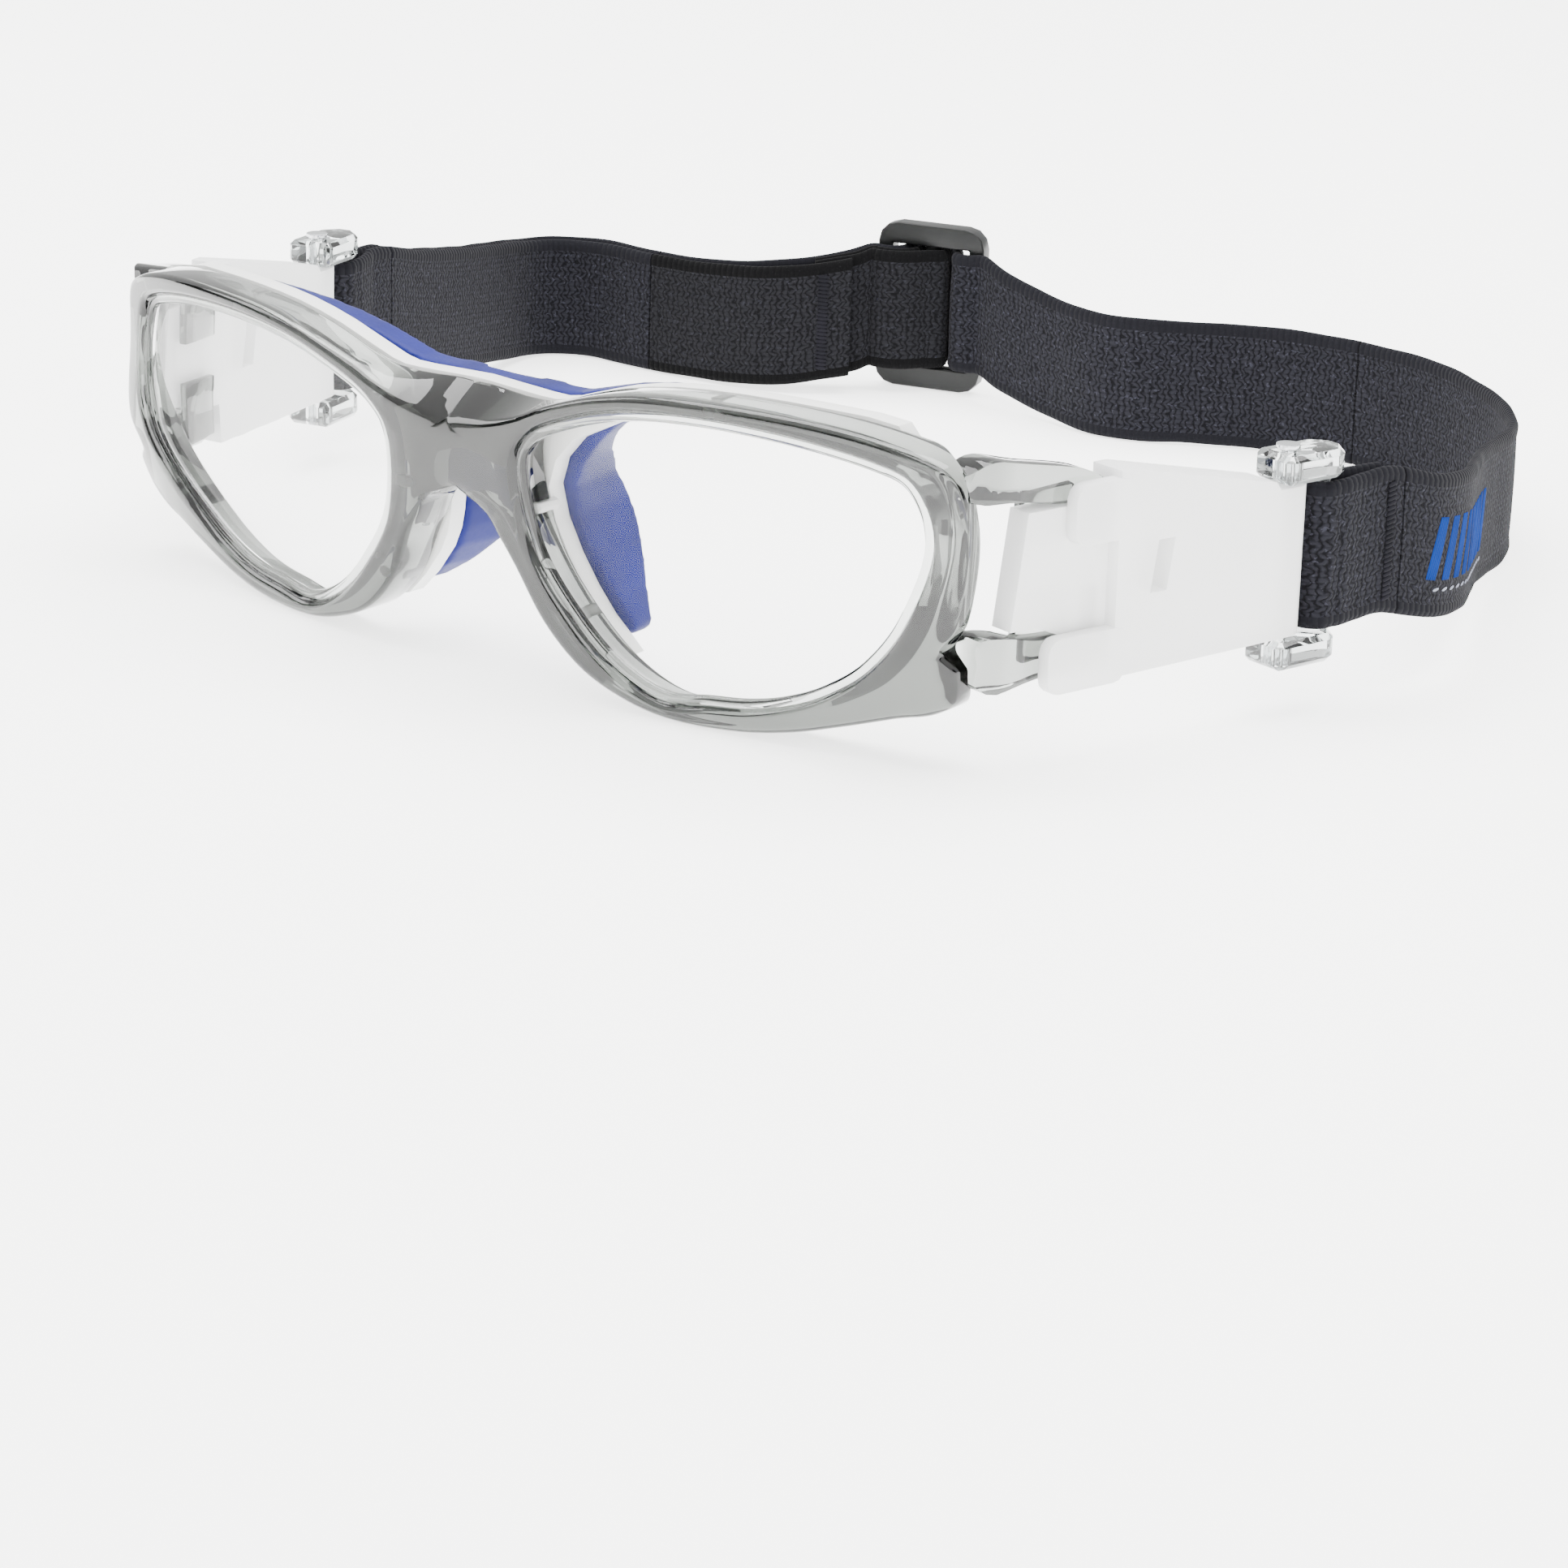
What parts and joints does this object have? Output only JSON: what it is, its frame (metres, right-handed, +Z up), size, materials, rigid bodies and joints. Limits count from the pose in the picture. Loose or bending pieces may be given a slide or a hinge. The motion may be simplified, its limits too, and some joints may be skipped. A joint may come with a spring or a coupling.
{
  "type": "sports protective goggles",
  "caption": "Clear wraparound sports goggles with blue silicone nose liner, frosted hinged temple pads and an elastic strap with slider.",
  "frame": {"origin": "centre of the bounding box, on the resting plane under the lower rims, the slider and the lower edge of the strap", "axes": "+Z up as the goggles lie upright, +X towards the wearer's left, -Y the way the lenses face"},
  "size_m": [0.1956, 0.1712, 0.0421],
  "materials": {
    "smoke_frame": "clear smoke-grey moulded polycarbonate, glossy",
    "clear_lens": "clear hard-coated polycarbonate lens",
    "white_carrier": "white moulded plastic strip",
    "blue_silicone": "royal blue soft silicone, satin",
    "frosted_pad": "frosted translucent soft plastic",
    "clear_buckle": "clear moulded plastic",
    "steel_pin": "bright steel pin",
    "strap_webbing": "charcoal knitted elastic with ribbed black edges",
    "thread": "dark polyester sewing thread",
    "black_slider": "black moulded plastic, satin"
  },
  "bodies": {
    "frame": {"front_frame": "smoke_frame", "lens_left": "clear_lens", "lens_right": "clear_lens", "liner_carrier": "white_carrier", "silicone_liner": "blue_silicone", "strap_run_left": "strap_webbing", "strap_back": "strap_webbing", "strap_feed_right": "strap_webbing", "strap_outer_right": "strap_webbing", "strap_inner_right": "strap_webbing", "strap_hem_right": "strap_webbing"},
    "temple_left": {"temple_pad_left": "frosted_pad"},
    "temple_right": {"temple_pad_right": "frosted_pad"},
    "buckle_left": {"buckle_left": "clear_buckle", "buckle_pin_left": "steel_pin", "strap_end_left": "strap_webbing", "bar_tack_left": "thread"},
    "buckle_right": {"buckle_right": "clear_buckle", "buckle_pin_right": "steel_pin", "strap_end_right": "strap_webbing"},
    "slider": {"slider": "black_slider", "slider_loop": "strap_webbing", "bar_tack_right": "thread"}
  },
  "joints": [
    {"name": "temple_left", "type": "hinge", "parent": "frame", "child": "temple_left", "pos_m": [0.08202, -0.05297, 0.02404], "axis": [0, 0, 1], "range_deg": [0, 60], "deforming": ["strap_run_left"]},
    {"name": "temple_right", "type": "hinge", "parent": "frame", "child": "temple_right", "pos_m": [-0.06538, -0.05297, 0.02404], "axis": [0, 0, -1], "range_deg": [0, 60], "deforming": ["strap_outer_right", "strap_inner_right"]},
    {"name": "buckle_left", "type": "hinge", "parent": "temple_left", "child": "buckle_left", "pos_m": [0.09029, -0.02308, 0.02004], "axis": [0, 0, 1], "range_deg": [-25, 25], "deforming": ["strap_run_left"]},
    {"name": "buckle_right", "type": "hinge", "parent": "temple_right", "child": "buckle_right", "pos_m": [-0.07365, -0.02308, 0.02004], "axis": [0, 0, -1], "range_deg": [-25, 25], "deforming": ["strap_outer_right", "strap_inner_right"]},
    {"name": "slider", "type": "slide", "parent": "frame", "child": "slider", "axis": [-0.9641, -0.2656, 0], "range_m": [-0.006, 0.006], "deforming": ["strap_back", "strap_feed_right", "strap_hem_right"]}
  ]
}
